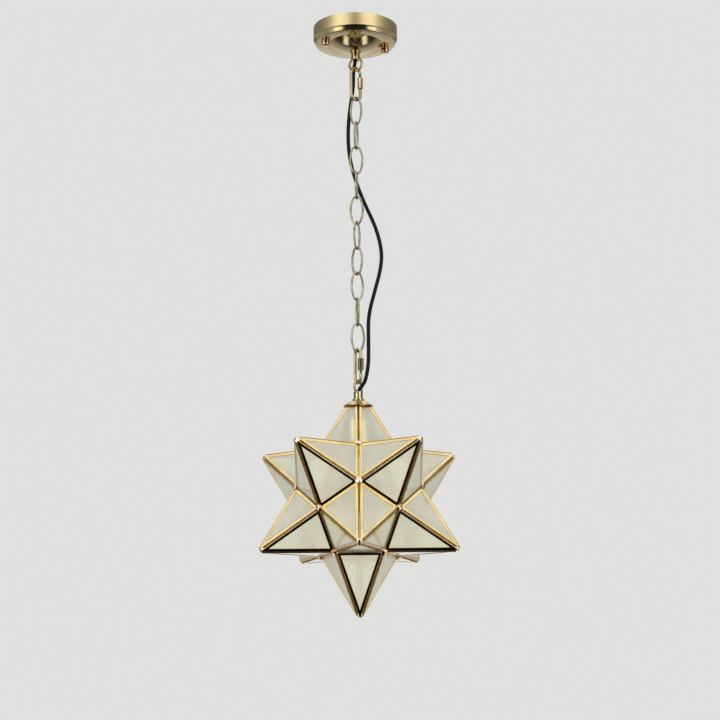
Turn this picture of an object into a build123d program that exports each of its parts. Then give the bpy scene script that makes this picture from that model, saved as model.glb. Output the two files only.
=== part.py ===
from build123d import *
import os
from itertools import combinations
from math import atan2, cos, degrees, hypot, radians, sin, sqrt, tan

os.makedirs("parts", exist_ok=True)

# A moravian star pendant, in millimetres, +Z up. The origin is the centre of the canopy's rim,
# where it meets the ceiling. The star hangs straight down and its front looks along -Y.

# Fits
screw_fit = 0.02  # radial play of a screwed or pressed joint
slide_fit = 0.05  # radial play of a sleeve on its bar and of the hinge on its pin
link_play = 0.1  # daylight between two interlocked links

# Canopy: a drum with a rolled edge, a flat ring and a low dome
canopy_radius = 59.5
canopy_height = 24.0
canopy_edge = 6.0
canopy_wall = 0.8
dome_radius = 38.0
dome_drop = 11.0
dome_seat = 8.5

# Strap and screws that hold the canopy to the outlet box
strap_turn = 19.0
strap_length = 105.0
strap_width = 20.0
strap_thickness = 1.5
stud_spacing = 88.9
stud_radius = 2.0
stud_length = 29.0
cap_nut_radius = 6.0
cap_nut_height = 8.0
box_hole_spacing = 70.0
box_hole_radius = 2.25
ground_screw_offset = 18.0

# Threaded tube and its nuts, the same at the canopy and at the star
pipe_radius = 4.95
pipe_bore = 3.2
pipe_grip = 6.5  # how far the tube screws into a loop
nut_across = 14.0
nut_thickness = 3.0

# Screw loops, the same at the canopy and at the star
loop_radius = 11.2
loop_wire = 3.6
loop_flange_radius = 8.0
loop_flange_height = 2.5
loop_neck_radius = 6.2
loop_neck_height = 10.8
loop_sink = 1.5  # how far the neck's end reaches into the ring
canopy_loop_turn = -24.0
star_loop_turn = 59.0

# Quick links with a sliding hexagon sleeve
quick_length = 51.5
quick_width = 19.5
quick_wire = 4.0
quick_gap = 5.5
sleeve_across = 7.2
sleeve_length = 16.0
upper_quick_turn = 35.0
upper_gap_drop = 19.1  # from the top of the link to the gap
upper_sleeve_drop = 15.1
lower_quick_turn = -61.0
lower_gap_drop = 20.6
lower_sleeve_drop = 16.6

# Chain: each link's turn about Z, from the top down
chain_length = 42.3
chain_width = 20.1
chain_wire = 2.9
chain_end_bend = 5.8  # radius of the wire's middle at a link's two ends
chain_turns = [-28.0, 76.0, 8.0, 84.0, -12.0, 65.0, -39.0, 26.0, -80.0, 12.0]

# Star: twelve five-sided points on the faces of a dodecahedron of this edge
panel_base = 65.0
tip_blunting = 9.35  # cut from the ideal tip of each point
top_opening = 19.6  # corner radius of the top point where it is cut for the cap
came_thickness = 3.0
came_leg = 4.2
came_web = 1.0
glass_thickness = 1.9
glass_play = 0.1
edge_play = 0.05  # how far each base edge stands off its valley line
seam_radius = 1.1  # solder run inside each ridge
tip_solder_radius = 3.6
tip_solder_height = 4.0
joint_solder_radius = 3.0
joint_solder_depth = 4.5

# Cap, lampholder and bulb
cap_radius = 20.6
cap_rim = 1.0
cap_height = 8.2
cap_wall = 1.0
cap_seat = 8.0
washer_radius = 18.8
washer_thickness = 1.2
cup_radius = 19.0
cup_length = 46.0
cup_wall = 1.0
cup_drop = 18.0  # from the cut plane of the top point down to the cup
bulb_radius = 30.0
bulb_length = 105.0
bulb_base_radius = 13.0
bulb_base_length = 24.0

# Hinge and catch of the access point
hinge_length = 30.0
hinge_radius = 2.0
hinge_offset = 2.5  # from the valley line out to the pin
hinge_pin_radius = 0.8
hinge_plate = 0.8
hinge_gap = 0.3
catch_width = 8.0
catch_thickness = 0.6

# Cord: corners of its route, from inside the canopy loop down into the star loop
cord_radius = 2.6
cord_route = [
    (0.0, 0.0, -40.0),
    (0.0, 0.0, -49.5),
    (-3.4, 8.2, -61.0),
    (-3.0, 8.6, -84.0),
    (-9.2, 11.4, -120.0),
    (-11.9, 14.0, -157.0),
    (-9.2, 15.8, -191.0),
    (0.3, 18.0, -226.0),
    (12.0, 16.0, -257.0),
    (26.6, 11.0, -291.0),
    (34.6, 5.4, -326.0),
    (32.8, 3.0, -353.0),
    (23.6, -0.4, -387.0),
    (14.8, -4.6, -421.0),
    (14.6, -8.8, -455.0),
    (14.6, -11.0, -485.0),
    (12.4, -8.8, -503.0),
    (8.6, -3.2, -515.5),
    (0.0, 0.0, -524.6),
    (0.0, 0.0, -534.0),
]


def finish(piece, name):
    """Name a finished piece and write it out."""
    piece.part.label = name
    export_step(piece.part, f"parts/{name}.step")


def turned(height, turn, up=1):
    """A level plane at a height, its x turned about Z, facing up or down."""
    return Plane(
        origin=(0, 0, height), x_dir=(cos(radians(turn)), sin(radians(turn)), 0), z_dir=(0, 0, up)
    )


def upright(base, height=0.0):
    """The plane that stands on a base plane: x along the base's x, y along its normal."""
    return Plane(
        origin=base.origin + base.z_dir * height, x_dir=base.x_dir, z_dir=-base.y_dir
    )


def bulge(inner, outer, rise):
    """Radius of the dome that rises by this much from its outer to its inner radius."""
    total = (outer**2 - inner**2) / rise
    return hypot((total + rise) / 2, inner)


def revolved(plane, *corners):
    """A turned piece from its half section, about the plane's y."""
    with BuildPart() as piece:
        with BuildSketch(plane):
            with BuildLine():
                Polyline(*corners, close=True)
            make_face()
        revolve(axis=Axis(plane.origin, plane.y_dir))
    return piece.part


# ---------------------------------------------------------------- canopy and what it holds
strap = turned(0, strap_turn)
dome_bottom = -canopy_height - dome_drop
pipe_bottom = dome_bottom - pipe_grip

with BuildPart() as ceiling_crossbar:
    with BuildSketch(strap):
        RectangleRounded(strap_length, strap_width, 4.0)
        Circle(pipe_radius + screw_fit, mode=Mode.SUBTRACT)
        with GridLocations(stud_spacing, 0, 2, 1):
            Circle(stud_radius + screw_fit, mode=Mode.SUBTRACT)
        with GridLocations(box_hole_spacing, 0, 2, 1):
            Circle(box_hole_radius, mode=Mode.SUBTRACT)
        with Locations((ground_screw_offset, 0)):
            Circle(1.6 + screw_fit, mode=Mode.SUBTRACT)
    extrude(amount=-strap_thickness)
finish(ceiling_crossbar, "ceiling_crossbar")

ground = Plane(
    origin=strap.from_local_coords((ground_screw_offset, 0, 0)), x_dir=strap.x_dir, z_dir=(0, 0, -1)
)
with BuildPart() as crossbar_ground_screw:
    with BuildSketch(ground):
        Circle(1.6)
    extrude(amount=strap_thickness + 0.5)
    with BuildSketch(ground.offset(strap_thickness)):
        RegularPolygon(3.2, 6, major_radius=False)
    extrude(amount=3.0)
    chamfer(crossbar_ground_screw.edges().group_by(Axis.Z)[0], 0.5)
    with BuildSketch(ground.offset(strap_thickness + 2.0)):
        Rectangle(8, 0.9)
    extrude(amount=2.0, mode=Mode.SUBTRACT)
finish(crossbar_ground_screw, "crossbar_ground_screw")

with BuildPart() as canopy_mounting_screws:
    with BuildSketch(strap):
        with GridLocations(stud_spacing, 0, 2, 1):
            Circle(stud_radius)
    extrude(amount=-stud_length)
    chamfer(canopy_mounting_screws.edges().group_by(Axis.Z)[0], 0.5)
finish(canopy_mounting_screws, "canopy_mounting_screws")

dome_curve = bulge(dome_seat, dome_radius, dome_drop)
with BuildPart() as canopy:
    with BuildSketch(Plane.XZ):
        with BuildLine():
            FilletPolyline(
                (canopy_radius, 0),
                (canopy_radius, -canopy_height),
                (dome_radius, -canopy_height),
                radius=canopy_edge,
            )
            RadiusArc((dome_radius, -canopy_height), (dome_seat, dome_bottom), dome_curve)
            Line((dome_seat, dome_bottom), (0, dome_bottom))
            Line((0, dome_bottom), (0, 0))
            Line((0, 0), (canopy_radius, 0))
        make_face()
    revolve(axis=Axis.Z)
    offset(amount=-canopy_wall, openings=canopy.faces().sort_by(Axis.Z)[-1])
    with BuildSketch(strap.offset(-canopy_height - 1)):
        with GridLocations(stud_spacing, 0, 2, 1):
            Circle(stud_radius + 0.3)
    extrude(amount=2 + canopy_wall, mode=Mode.SUBTRACT)
    with BuildSketch(strap.offset(dome_bottom - 1)):
        Circle(pipe_radius + 0.15)
    extrude(amount=2 + canopy_wall, mode=Mode.SUBTRACT)
finish(canopy, "canopy")

with BuildPart() as cap_nut:
    with BuildSketch(Plane.XZ):
        with BuildLine():
            Line((0, 0), (cap_nut_radius, 0))
            Line((cap_nut_radius, 0), (cap_nut_radius, -cap_nut_height / 2))
            RadiusArc(
                (cap_nut_radius, -cap_nut_height / 2),
                (0, -cap_nut_height),
                bulge(0, cap_nut_radius, cap_nut_height / 2),
            )
            Line((0, -cap_nut_height), (0, 0))
        make_face()
    revolve(axis=Axis.Z)
    with BuildSketch():
        Circle(stud_radius + screw_fit)
    extrude(amount=canopy_height - stud_length - 0.5, mode=Mode.SUBTRACT)

with BuildPart(Plane.XY.offset(-canopy_height)) as canopy_cap_nuts:
    with PolarLocations(stud_spacing / 2, 2, start_angle=strap_turn):
        add(cap_nut.part)
finish(canopy_cap_nuts, "canopy_cap_nuts")


def pipe(top, bottom):
    """A threaded tube between two heights."""
    with BuildPart() as tube:
        with BuildSketch(Plane.XY.offset(bottom)):
            Circle(pipe_radius)
            Circle(pipe_bore, mode=Mode.SUBTRACT)
        extrude(amount=top - bottom)
    return tube


def pipe_nut(top):
    """A hexagon nut on a threaded tube."""
    with BuildPart() as nut:
        with BuildSketch(Plane.XY.offset(top)):
            RegularPolygon(nut_across / 2, 6, major_radius=False)
            Circle(pipe_radius + screw_fit, mode=Mode.SUBTRACT)
        extrude(amount=-nut_thickness)
    return nut


def screw_loop(seat):
    """Flange, neck and ring in one piece, standing on a seat plane, bored for tube and cord."""
    side = upright(seat)
    neck_end = loop_flange_height + loop_neck_height
    ring_height = neck_end - loop_sink - loop_wire + loop_radius
    ring = Plane(origin=upright(seat, ring_height).origin, z_dir=side.z_dir)
    with BuildPart() as loop:
        with BuildSketch(side):
            with BuildLine():
                Polyline(
                    (0, 0),
                    (loop_flange_radius, 0),
                    (loop_flange_radius, loop_flange_height - 0.6),
                    (loop_flange_radius - 0.6, loop_flange_height),
                    (loop_neck_radius, loop_flange_height),
                    (loop_neck_radius, neck_end - 0.8),
                    (loop_neck_radius - 0.8, neck_end),
                    (0, neck_end),
                    close=True,
                )
            make_face()
        revolve(axis=Axis(seat.origin, seat.z_dir))
        with Locations(ring.location):
            Torus(loop_radius - loop_wire / 2, loop_wire / 2)
        with BuildSketch(seat):
            Circle(pipe_bore)
        extrude(amount=neck_end + 0.8, mode=Mode.SUBTRACT)
        with BuildSketch(seat):
            Circle(pipe_radius + screw_fit)
        extrude(amount=pipe_grip, mode=Mode.SUBTRACT)
    return loop


canopy_nipple = pipe(0, pipe_bottom)
finish(canopy_nipple, "canopy_nipple")
canopy_locknut = pipe_nut(dome_bottom + canopy_wall + nut_thickness)
finish(canopy_locknut, "canopy_locknut")
canopy_loop = screw_loop(turned(dome_bottom, canopy_loop_turn, -1))
finish(canopy_loop, "canopy_loop")

# ---------------------------------------------------------------- quick links and chain
loop_height = loop_flange_height + loop_neck_height - loop_sink - loop_wire + 2 * loop_radius


def oval_side(top, turn, length):
    """The upright plane of a link at its middle height."""
    return upright(turned(top - length / 2, turn))


def chain_link(top, turn):
    """One closed oval link of four arcs, half of it swept and the other half mirrored."""
    side = oval_side(top, turn, chain_length)
    wide = (chain_width - chain_wire) / 2
    end_middle = (chain_length - chain_wire) / 2 - chain_end_bend
    side_bend = (end_middle**2 + wide**2 - chain_end_bend**2) / (2 * (wide - chain_end_bend))
    lean = degrees(atan2(end_middle, side_bend - wide))
    with BuildPart() as link:
        with BuildLine(side) as half:
            CenterArc((0, end_middle), chain_end_bend, 90, lean - 90)
            CenterArc((wide - side_bend, 0), side_bend, lean, -2 * lean)
            CenterArc((0, -end_middle), chain_end_bend, -lean, lean - 90)
        with BuildSketch(Plane(origin=half.line @ 0, z_dir=half.line % 0)):
            Circle(chain_wire / 2)
        sweep()
        mirror(about=Plane(origin=side.origin, z_dir=side.x_dir))
    return link


def quick_link(top, turn, gap_drop):
    """A quick link's wire body, open at the gap in its right-hand bar."""
    side = oval_side(top, turn, quick_length)
    bend = (quick_width - quick_wire) / 2
    straight = (quick_length - quick_width) / 2
    gap_top = quick_length / 2 - gap_drop
    with BuildPart() as link:
        with BuildLine(side) as wire:
            Line((bend, gap_top), (bend, straight))
            ThreePointArc((bend, straight), (0, straight + bend), (-bend, straight))
            Line((-bend, straight), (-bend, -straight))
            ThreePointArc((-bend, -straight), (0, -straight - bend), (bend, -straight))
            Line((bend, -straight), (bend, gap_top - quick_gap))
        with BuildSketch(Plane(origin=wire.line @ 0, z_dir=wire.line % 0)):
            Circle(quick_wire / 2)
        sweep()
    return link


def quick_sleeve(top, turn, sleeve_drop):
    """The hexagon sleeve that closes a quick link's gap."""
    base = turned(top - sleeve_drop - sleeve_length, turn)
    middle = Plane(
        origin=base.from_local_coords(((quick_width - quick_wire) / 2, 0, 0)), x_dir=base.x_dir
    )
    with BuildPart() as sleeve:
        with BuildSketch(middle):
            RegularPolygon(sleeve_across / 2, 6, major_radius=False)
        extrude(amount=sleeve_length)
        chamfer(
            sleeve.edges().group_by(Axis.Z)[0] + sleeve.edges().group_by(Axis.Z)[-1], 0.5
        )
        with BuildSketch(middle):
            Circle(quick_wire / 2 + slide_fit)
        extrude(amount=sleeve_length, mode=Mode.SUBTRACT)
    return sleeve


# Each link rides on the bottom wire of the one above, so the heights follow one another down.
bearing = dome_bottom - loop_height + loop_wire + link_play
print("hinge heights, mm:", round(bearing - link_play - loop_wire / 2, 3), end="")

upper_top = bearing + quick_wire
upper_quick_link = quick_link(upper_top, upper_quick_turn, upper_gap_drop)
finish(upper_quick_link, "upper_quick_link")
upper_quick_link_sleeve = quick_sleeve(upper_top, upper_quick_turn, upper_sleeve_drop)
finish(upper_quick_link_sleeve, "upper_quick_link_sleeve")
bearing = upper_top - quick_length + quick_wire + link_play
print(",", round(bearing - link_play - quick_wire / 2, 3), end="")

for number, turn in enumerate(chain_turns, 1):
    link_top = bearing + chain_wire
    link = chain_link(link_top, turn)
    finish(link, f"chain_link_{number:02d}")
    bearing = link_top - chain_length + chain_wire + link_play
    print(",", round(bearing - link_play - chain_wire / 2, 3), end="")

lower_top = bearing + quick_wire
lower_quick_link = quick_link(lower_top, lower_quick_turn, lower_gap_drop)
finish(lower_quick_link, "lower_quick_link")
lower_quick_link_sleeve = quick_sleeve(lower_top, lower_quick_turn, lower_sleeve_drop)
finish(lower_quick_link_sleeve, "lower_quick_link_sleeve")
bearing = lower_top - quick_length + quick_wire + link_play
print(",", round(bearing - link_play - quick_wire / 2, 3))

cap_top = bearing + loop_wire - loop_height
star_loop = screw_loop(turned(cap_top, star_loop_turn))
finish(star_loop, "star_loop")

# ---------------------------------------------------------------- cord
cord_radii = []
for before, corner, after in zip(cord_route, cord_route[1:], cord_route[2:]):
    arriving, leaving = Vector(*corner) - Vector(*before), Vector(*after) - Vector(*corner)
    shorter = min(arriving.length, leaving.length)
    cord_radii.append(0.45 * shorter / tan(radians(arriving.get_angle(leaving) / 2)))
print("cord radii, mm:", [round(radius) for radius in cord_radii])

with BuildPart() as power_cord:
    with BuildLine() as route:
        FilletPolyline(*cord_route, radius=cord_radii)
    with BuildSketch(Plane(origin=route.line @ 0, z_dir=route.line % 0)):
        Circle(cord_radius)
    sweep()
print("cord length, mm:", round(route.wires()[0].length, 1))
finish(power_cord, "power_cord")

# ---------------------------------------------------------------- cap and lampholder
cut_plane = cap_top - cap_height
cap_curve = bulge(cap_seat, cap_radius, cap_height - cap_rim)
with BuildPart() as star_cap:
    with BuildSketch(Plane.XZ):
        with BuildLine():
            Line((0, cut_plane), (cap_radius, cut_plane))
            Line((cap_radius, cut_plane), (cap_radius, cut_plane + cap_rim))
            RadiusArc((cap_radius, cut_plane + cap_rim), (cap_seat, cap_top), -cap_curve)
            Line((cap_seat, cap_top), (0, cap_top))
            Line((0, cap_top), (0, cut_plane))
        make_face()
    revolve(axis=Axis.Z)
    offset(amount=-cap_wall, openings=star_cap.faces().sort_by(Axis.Z)[0])
    with BuildSketch(Plane.XY.offset(cap_top)):
        Circle(pipe_radius + 0.15)
    extrude(amount=-2 * cap_wall, mode=Mode.SUBTRACT)
finish(star_cap, "star_cap")

with BuildPart() as cap_washer:
    with BuildSketch(Plane.XY.offset(cut_plane)):
        Circle(washer_radius)
        Circle(pipe_radius + 0.15, mode=Mode.SUBTRACT)
    extrude(amount=washer_thickness)
finish(cap_washer, "cap_washer")

cup_top = cut_plane - cup_drop
star_nipple = pipe(cap_top + pipe_grip, cup_top - cup_wall - 2.5)
finish(star_nipple, "star_nipple")
star_locknut = pipe_nut(cut_plane)
finish(star_locknut, "star_locknut")

cup_floor = cup_top - cup_length
socket_cup = BuildPart()
with socket_cup:
    add(
        revolved(
            Plane.XZ,
            (pipe_radius + screw_fit, cup_top),
            (cup_radius - 2.0, cup_top),
            (cup_radius, cup_top - 2.0),
            (cup_radius, cup_floor),
            (cup_radius - cup_wall, cup_floor),
            (cup_radius - cup_wall, cup_top - 2.0 - cup_wall / 2),
            (cup_radius - 2.0 - cup_wall / 2, cup_top - cup_wall),
            (pipe_radius + screw_fit, cup_top - cup_wall),
        )
    )
finish(socket_cup, "socket_cup")

holder_top = cup_top - cup_wall
holder_radius = cup_radius - cup_wall - 2.2
thread_radius = bulb_base_radius + 0.3
lampholder = BuildPart()
with lampholder:
    add(
        revolved(
            Plane.XZ,
            (pipe_bore, holder_top),
            (holder_radius, holder_top),
            (holder_radius, cup_floor + 4.0),
            (cup_radius - cup_wall - slide_fit, cup_floor + 4.0),
            (cup_radius - cup_wall - slide_fit, cup_floor + 1.0),
            (thread_radius, cup_floor + 1.0),
            (thread_radius, cup_floor + 1.0 + bulb_base_length),
            (pipe_bore, cup_floor + 1.0 + bulb_base_length),
        )
    )
    with BuildSketch(Plane.XY.offset(holder_top)):
        Circle(pipe_radius + screw_fit)
    extrude(amount=-2.5, mode=Mode.SUBTRACT)
finish(lampholder, "lampholder")

bulb_top = cup_floor + bulb_base_length
bulb_neck = bulb_base_radius + 0.5
globe_middle = bulb_top - bulb_length + bulb_radius
with BuildPart() as bulb:
    with BuildSketch(Plane.XZ):
        with BuildLine():
            Polyline(
                (0, bulb_top),
                (4.5, bulb_top),
                (6.0, bulb_top - 3.0),
                (bulb_base_radius, bulb_top - 5.0),
                (bulb_base_radius, bulb_top - bulb_base_length),
                (bulb_neck, bulb_top - bulb_base_length),
            )
            neck_end = (bulb_radius * sin(radians(38)), globe_middle + bulb_radius * cos(radians(38)))
            Spline(
                (bulb_neck, bulb_top - bulb_base_length),
                neck_end,
                tangents=[(0, -1), (cos(radians(38)), -sin(radians(38)))],
            )
            ThreePointArc(
                neck_end,
                (bulb_radius, globe_middle),
                (0, globe_middle - bulb_radius),
            )
            Line((0, globe_middle - bulb_radius), (0, bulb_top))
        make_face()
    revolve(axis=Axis.Z)
finish(bulb, "bulb")

# ---------------------------------------------------------------- star
golden = (1 + sqrt(5)) / 2
base_apothem = panel_base / 2 / tan(radians(36))
base_corner = panel_base / 2 / sin(radians(36))
panel_slope = panel_base / 2 * tan(radians(72))
point_height = sqrt(panel_slope**2 - base_apothem**2)
core_apothem = panel_base / 2 * sqrt((25 + 11 * sqrt(5)) / 10)
core_corner = hypot(core_apothem, base_corner)
slope_per_height = panel_slope / point_height

ridge_inset = came_thickness / golden + 0.02  # square edges leave a V groove along each ridge
tip_height = point_height - tip_blunting
top_height = point_height * (1 - top_opening / base_corner)
star_centre = cut_plane - core_apothem - top_height
print("star centre:", round(star_centre, 2), "lowest tip:", end=" ")
print(round(star_centre - core_apothem - tip_height, 2))

# The twelve axes of the points, and for each a neighbour that its first panel faces.
ring_up, ring_out = 1 / sqrt(5), 2 / sqrt(5)


def ring_axis(azimuth, side):
    """The axis of a point in the upper (side 1) or lower (side -1) ring."""
    return Vector(
        ring_out * cos(radians(azimuth)), ring_out * sin(radians(azimuth)), side * ring_up
    )


point_axes = {
    "top": Vector(0, 0, 1),
    "upper_left": ring_axis(162, 1),
    "upper_front_left": ring_axis(234, 1),
    "upper_front_right": ring_axis(306, 1),
    "upper_right": ring_axis(18, 1),
    "upper_back": ring_axis(90, 1),
    "lower_front": ring_axis(270, -1),
    "lower_right": ring_axis(342, -1),
    "lower_back_right": ring_axis(54, -1),
    "lower_back_left": ring_axis(126, -1),
    "lower_left": ring_axis(198, -1),
    "bottom": Vector(0, 0, -1),
}
door = "upper_back"


def point_base(name):
    """The plane of a point's base pentagon, its x towards the middle of one side."""
    axis = point_axes[name]
    poles = {"top": point_axes[door], "bottom": point_axes["lower_front"]}
    towards = poles.get(name, Vector(0, 0, 1 if axis.Z > 0 else -1))
    return Plane(
        origin=Vector(0, 0, star_centre) + axis * core_apothem,
        x_dir=(towards - axis * axis.dot(towards)).normalized(),
        z_dir=axis,
    )


def panel_outline(top, inset):
    """Outline of a panel with its top edge at a slope height, drawn in from the came's edge."""
    drawn_in = ridge_inset + inset

    def half(height):
        return (panel_slope - height) * tan(radians(18)) - drawn_in / cos(radians(18))

    low, high = edge_play + inset, top - inset
    corners = [(-half(low), low), (half(low), low)]
    if half(high) > 0.2:
        return corners + [(half(high), high), (-half(high), high)]
    return corners + [(0, panel_slope - drawn_in / sin(radians(18)))]


# One side of a point: a triangular frame of U-shaped came, slotted for its glass.
panel_face = Plane(
    origin=(base_apothem, 0, 0), x_dir=(0, 1, 0), z_dir=(point_height, 0, base_apothem)
)
came_slot = glass_thickness + glass_play
came_flange = (came_thickness - came_slot) / 2


def point_side(height):
    """Came of one side and the solder run in the ridge beside it, up to a height."""
    top = height * slope_per_height
    with BuildPart() as side:
        with BuildSketch(panel_face):
            Polygon(*panel_outline(top, 0), align=None)
        extrude(amount=-came_thickness)
        with BuildSketch(panel_face):
            Polygon(*panel_outline(top, came_leg), align=None)
        extrude(amount=-came_thickness, mode=Mode.SUBTRACT)
        with BuildSketch(panel_face.offset(-came_flange)):
            Polygon(*panel_outline(top, came_web), align=None)
        extrude(amount=-came_slot, mode=Mode.SUBTRACT)
    return side.part


def point_frame(height, tipped):
    """The brass frame of a whole point, soldered along its five ridges."""
    ridge = Vector(-base_corner, 0, point_height).normalized()
    inwards = Vector(-point_height, 0, -base_corner).normalized()
    inner_corner = Vector(base_corner, 0, 0) + inwards * came_thickness / sin(radians(58.283))
    foot = inner_corner + ridge * 1.5
    seam_length = (height - 2.5 - foot.Z) / ridge.Z
    with BuildPart() as seam:
        with BuildSketch(Plane(origin=foot, x_dir=(0, 1, 0), z_dir=ridge)):
            RegularPolygon(seam_radius, 8)
        extrude(amount=seam_length)
    side = point_side(height)
    with BuildPart() as frame:
        with PolarLocations(0, 5):
            add(side)
        with PolarLocations(0, 5, start_angle=36):
            add(seam.part)
        if tipped:
            with BuildSketch(Plane.XY.offset(height - tip_solder_height)):
                Circle(tip_solder_radius)
            extrude(amount=tip_solder_height, taper=22)
    return frame.part


def point_glass(height):
    """The five panes of a point."""
    top = height * slope_per_height
    with BuildPart() as pane:
        with BuildSketch(panel_face.offset(-came_flange - glass_play / 2)):
            Polygon(*panel_outline(top, came_web + glass_play), align=None)
        extrude(amount=-glass_thickness)
    with BuildPart() as panes:
        with PolarLocations(0, 5):
            add(pane.part)
    return panes.part


# The corners where three points meet, apart from those of the access point, are soldered.
soldered = {}
for trio in combinations(point_axes, 3):
    axes = [point_axes[name] for name in trio]
    if all(one.dot(other) > 0.4 for one, other in combinations(axes, 2)) and door not in trio:
        outwards = (axes[0] + axes[1] + axes[2]).normalized()
        soldered[trio] = Plane(
            origin=Vector(0, 0, star_centre) + outwards * (core_corner + 1.0), z_dir=outwards
        )

with BuildPart() as solder_joints:
    for corner in soldered.values():
        with BuildSketch(corner):
            Circle(joint_solder_radius)
        extrude(amount=-joint_solder_depth)
finish(solder_joints, "solder_joints")

pointed = point_frame(tip_height, True), point_glass(tip_height)
opened = point_frame(top_height, False), point_glass(top_height)
for name in point_axes:
    frame_shape, glass_shape = opened if name == "top" else pointed
    place = point_base(name).location
    with BuildPart() as frame:
        with Locations(place):
            add(frame_shape)
        for trio, corner in soldered.items():
            if name in trio:
                with BuildSketch(corner.offset(1)):
                    Circle(joint_solder_radius + screw_fit)
                extrude(amount=-joint_solder_depth - 1, mode=Mode.SUBTRACT)
    finish(frame, f"star_point_{name}_frame")
    with BuildPart() as glass:
        with Locations(place):
            add(glass_shape)
    finish(glass, f"star_point_{name}_glass")

# ---------------------------------------------------------------- hinge and catch
# The access point turns about a pin beside the valley it shares with the top point. In the
# plane of its base the valley is at x = base_apothem and the top point's came lies flat.
door_base = point_base(door)
valley = Vector(base_apothem, 0, 0)
up_the_door = Vector(-base_apothem, 0, point_height).normalized()
between = (up_the_door + Vector(1, 0, 0)).normalized()
pin_middle = valley + between * hinge_offset
hinge_start = Plane(
    origin=door_base.from_local_coords(pin_middle - Vector(0, hinge_length / 2, 0)),
    x_dir=door_base.x_dir,
    z_dir=door_base.y_dir,
)
knuckle = hinge_length / 3
plate_reach = came_leg - hinge_offset * between.X


def hinge_leaf(direction, knuckles):
    """A leaf with its knuckles: direction is the way its plate runs from the pin."""
    turn = Plane(origin=hinge_start.origin, x_dir=direction, z_dir=hinge_start.z_dir)
    inner = -(hinge_offset * between.Z) + screw_fit
    if turn.y_dir.dot(door_base.z_dir) < 0:
        inner = -inner - hinge_plate
    with BuildPart() as leaf:
        for start in knuckles:
            with BuildSketch(turn.offset(start)):
                Circle(hinge_radius)
                with Locations((0, inner)):
                    Rectangle(hinge_radius + 0.6, hinge_plate, align=(Align.MIN, Align.MIN))
            extrude(amount=knuckle - hinge_gap)
        with BuildSketch(turn.offset(0.1)):
            with Locations((hinge_radius + 0.3, inner)):
                Rectangle(
                    plate_reach - hinge_radius, hinge_plate, align=(Align.MIN, Align.MIN)
                )
        extrude(amount=hinge_length - 0.2)
        with BuildSketch(turn.offset(-1)):
            Circle(hinge_pin_radius + slide_fit)
        extrude(amount=hinge_length + 2, mode=Mode.SUBTRACT)
    return leaf


def along(local):
    """A direction in the access point's base plane as one in space."""
    return door_base.from_local_coords(local) - door_base.origin


hinge_fixed_leaf = hinge_leaf(along(Vector(1, 0, 0)), [0, 2 * knuckle + hinge_gap])
finish(hinge_fixed_leaf, "hinge_fixed_leaf")
hinge_door_leaf = hinge_leaf(along(up_the_door), [knuckle + hinge_gap / 2])
finish(hinge_door_leaf, "hinge_door_leaf")
pin_centre = door_base.from_local_coords(pin_middle)
print("access hinge:", [round(value, 3) for value in pin_centre], "axis", door_base.y_dir)

with BuildPart() as hinge_pin:
    with BuildSketch(hinge_start):
        Circle(hinge_pin_radius)
    extrude(amount=hinge_length)
    for end, way in ((0, -1), (hinge_length, 1)):
        with BuildSketch(hinge_start.offset(end)):
            Circle(hinge_radius * 0.8)
        extrude(amount=way * 0.8)
finish(hinge_pin, "hinge_pin")

# A spring tongue inside the access point's lowest side, bent to rub on its neighbour's came
catch_turn = Plane(
    origin=door_base.origin,
    x_dir=along(Vector(cos(radians(144)), sin(radians(144)), 0)),
    z_dir=door_base.z_dir,
)
with BuildPart() as door_catch:
    with BuildSketch(upright(catch_turn).offset(-catch_width / 2)):
        with BuildLine():
            edge = base_apothem - came_thickness * slope_per_height
            lean = base_apothem / point_height
            Polyline(
                (edge - lean * 6.0 - 0.02, 6.0),
                (edge + lean * 1.2 - 0.02, -1.2),
                (edge + 0.9, -3.4),
                (base_apothem - 0.3, -4.8),
                (base_apothem - 1.8, -8.0),
                (base_apothem - 1.8 - catch_thickness, -8.0),
                (base_apothem - 0.4 - catch_thickness, -4.8),
                (edge + 0.9 - catch_thickness, -3.4),
                (edge + lean * 1.2 - 0.02 - catch_thickness, -1.2),
                (edge - lean * 6.0 - 0.02 - catch_thickness, 6.0),
                close=True,
            )
        make_face()
    extrude(amount=catch_width)
finish(door_catch, "door_catch")
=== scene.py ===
from itertools import combinations
from math import atan2, cos, degrees, hypot, pi, radians, sin, sqrt, tan

import bpy
from mathutils import Matrix, Vector


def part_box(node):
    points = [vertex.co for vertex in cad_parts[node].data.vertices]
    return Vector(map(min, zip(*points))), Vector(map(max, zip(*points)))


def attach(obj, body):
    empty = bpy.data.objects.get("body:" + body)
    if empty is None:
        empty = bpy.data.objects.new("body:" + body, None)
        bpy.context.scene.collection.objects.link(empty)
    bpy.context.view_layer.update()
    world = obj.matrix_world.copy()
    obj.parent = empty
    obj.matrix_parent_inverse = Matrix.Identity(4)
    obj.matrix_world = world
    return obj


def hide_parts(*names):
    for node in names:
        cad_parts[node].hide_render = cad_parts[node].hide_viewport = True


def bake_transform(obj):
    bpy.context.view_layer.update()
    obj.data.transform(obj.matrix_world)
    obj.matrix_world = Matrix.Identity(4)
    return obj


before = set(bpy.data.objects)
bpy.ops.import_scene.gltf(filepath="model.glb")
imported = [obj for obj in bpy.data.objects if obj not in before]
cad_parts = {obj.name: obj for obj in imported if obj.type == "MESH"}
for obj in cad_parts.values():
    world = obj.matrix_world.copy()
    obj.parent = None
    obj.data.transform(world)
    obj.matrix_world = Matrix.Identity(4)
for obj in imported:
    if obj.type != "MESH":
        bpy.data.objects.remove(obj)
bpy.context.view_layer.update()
mm = 0.001
print("frame loaded:", len(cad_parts), "nodes")

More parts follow.
